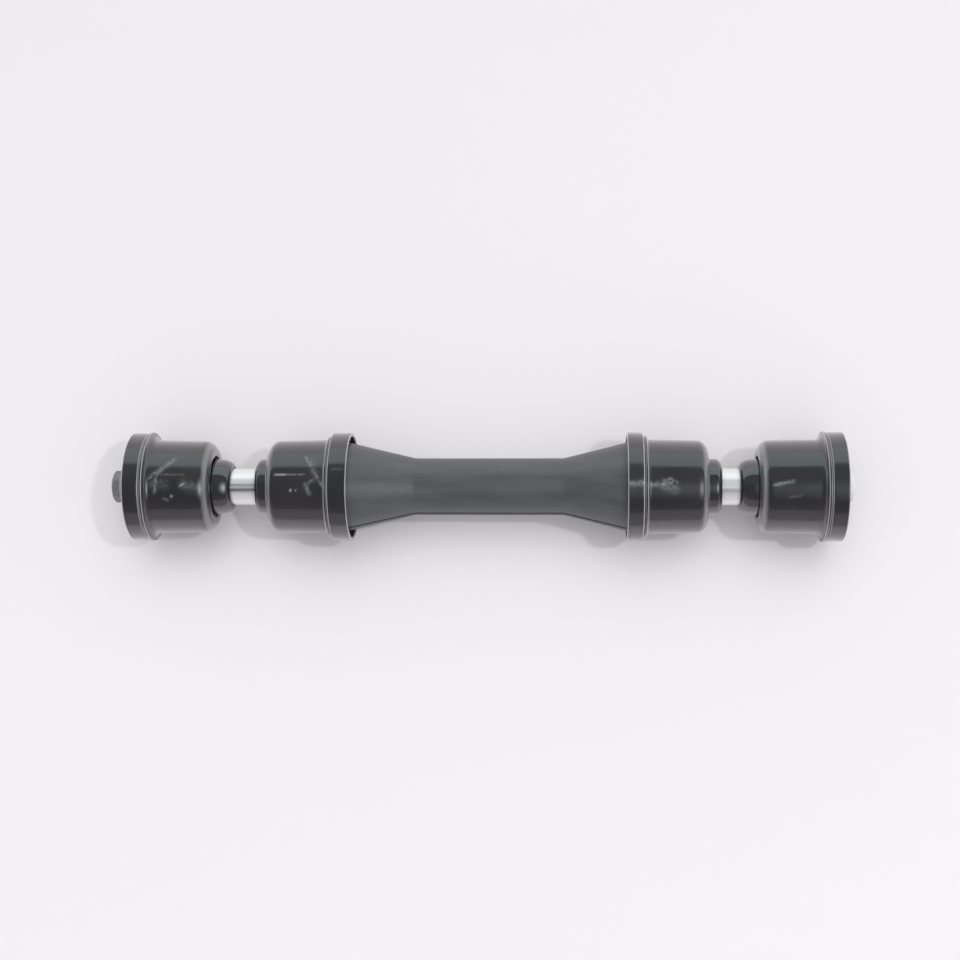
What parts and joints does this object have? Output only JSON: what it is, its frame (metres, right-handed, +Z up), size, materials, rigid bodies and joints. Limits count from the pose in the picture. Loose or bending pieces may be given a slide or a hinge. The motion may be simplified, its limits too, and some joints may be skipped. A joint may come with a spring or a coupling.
{
  "type": "stabilizer link",
  "caption": "Bolt-type stabilizer link: a long bolt and inner tube through rubber bushings in flanged steel cans with retainer cups, kept apart by a flared spacer sleeve.",
  "frame": {"origin": "on the bolt's axis, midway between the head's outer face and the bolt's end", "axes": "+X along the bolt from its head to its nut, +Z up from the surface the link lies on, +Y across"},
  "size_m": [0.368, 0.0546, 0.0546],
  "materials": {
    "bright_zinc_plate": "bright zinc plate, nearly mirror-like",
    "black_gloss_paint": "glossy black paint over drawn steel",
    "black_rubber": "moulded black rubber with an oily sheen",
    "grey_sleeve_plastic": "satin dark grey plastic",
    "grey_fastener_steel": "dull grey plated steel",
    "white_nylon": "natural white nylon"
  },
  "bodies": {
    "tube": {"inner_tube": "bright_zinc_plate"},
    "bolt": {"hex_bolt": "grey_fastener_steel", "head_washer": "grey_fastener_steel"},
    "nut_washer": {"nut_washer": "grey_fastener_steel"},
    "nut": {"lock_nut": "grey_fastener_steel", "nut_insert": "white_nylon"},
    "sleeve": {"sleeve_upper_half": "grey_sleeve_plastic", "sleeve_lower_half": "grey_sleeve_plastic", "left_sleeve_washer": "grey_fastener_steel", "right_sleeve_washer": "grey_fastener_steel"},
    "left_outer_bushing": {"left_outer_shell": "black_gloss_paint", "left_outer_core": "black_rubber"},
    "left_outer_cup": {"left_outer_cup": "black_gloss_paint"},
    "left_inner_bushing": {"left_inner_shell": "black_gloss_paint", "left_inner_core": "black_rubber"},
    "left_inner_cup": {"left_inner_cup": "black_gloss_paint"},
    "right_inner_bushing": {"right_inner_shell": "black_gloss_paint", "right_inner_core": "black_rubber"},
    "right_inner_cup": {"right_inner_cup": "black_gloss_paint"},
    "right_outer_bushing": {"right_outer_shell": "black_gloss_paint", "right_outer_core": "black_rubber"},
    "right_outer_cup": {"right_outer_cup": "black_gloss_paint"}
  },
  "joints": [
    {"name": "bolt_turn", "type": "hinge", "parent": "tube", "child": "bolt", "pos_m": [0, 0, 0], "axis": [1, 0, 0], "continuous": true},
    {"name": "nut_travel", "type": "slide", "parent": "bolt", "child": "nut_washer", "axis": [1, 0, 0], "range_m": [0, 0.0075]},
    {"name": "nut_turn", "type": "hinge", "parent": "nut_washer", "child": "nut", "pos_m": [0.179, 0, 0], "axis": [1, 0, 0], "range_deg": [0, 1805]},
    {"name": "sleeve_turn", "type": "hinge", "parent": "tube", "child": "sleeve", "pos_m": [0, 0, 0], "axis": [1, 0, 0], "continuous": true},
    {"name": "left_outer_slide", "type": "slide", "parent": "tube", "child": "left_outer_bushing", "axis": [1, 0, 0], "range_m": [-0.007, 0.0058]},
    {"name": "left_inner_slide", "type": "slide", "parent": "tube", "child": "left_inner_bushing", "axis": [-1, 0, 0], "range_m": [0, 0.0058]},
    {"name": "right_inner_slide", "type": "slide", "parent": "tube", "child": "right_inner_bushing", "axis": [1, 0, 0], "range_m": [0, 0.00405]},
    {"name": "right_outer_slide", "type": "slide", "parent": "tube", "child": "right_outer_bushing", "axis": [-1, 0, 0], "range_m": [0, 0.00405]},
    {"name": "left_outer_cup_turn", "type": "hinge", "parent": "left_outer_bushing", "child": "left_outer_cup", "pos_m": [-0.1695, 0, 0], "axis": [1, 0, 0], "continuous": true},
    {"name": "left_inner_cup_turn", "type": "hinge", "parent": "left_inner_bushing", "child": "left_inner_cup", "pos_m": [-0.0682, 0, 0], "axis": [1, 0, 0], "continuous": true},
    {"name": "right_inner_cup_turn", "type": "hinge", "parent": "right_inner_bushing", "child": "right_inner_cup", "pos_m": [0.0769, 0, 0], "axis": [1, 0, 0], "continuous": true},
    {"name": "right_outer_cup_turn", "type": "hinge", "parent": "right_outer_bushing", "child": "right_outer_cup", "pos_m": [0.174, 0, 0], "axis": [1, 0, 0], "continuous": true}
  ],
  "couplings": [
    {"joint": "nut_turn", "follows": "nut_travel", "rad_per_m": 4188.8}
  ]
}
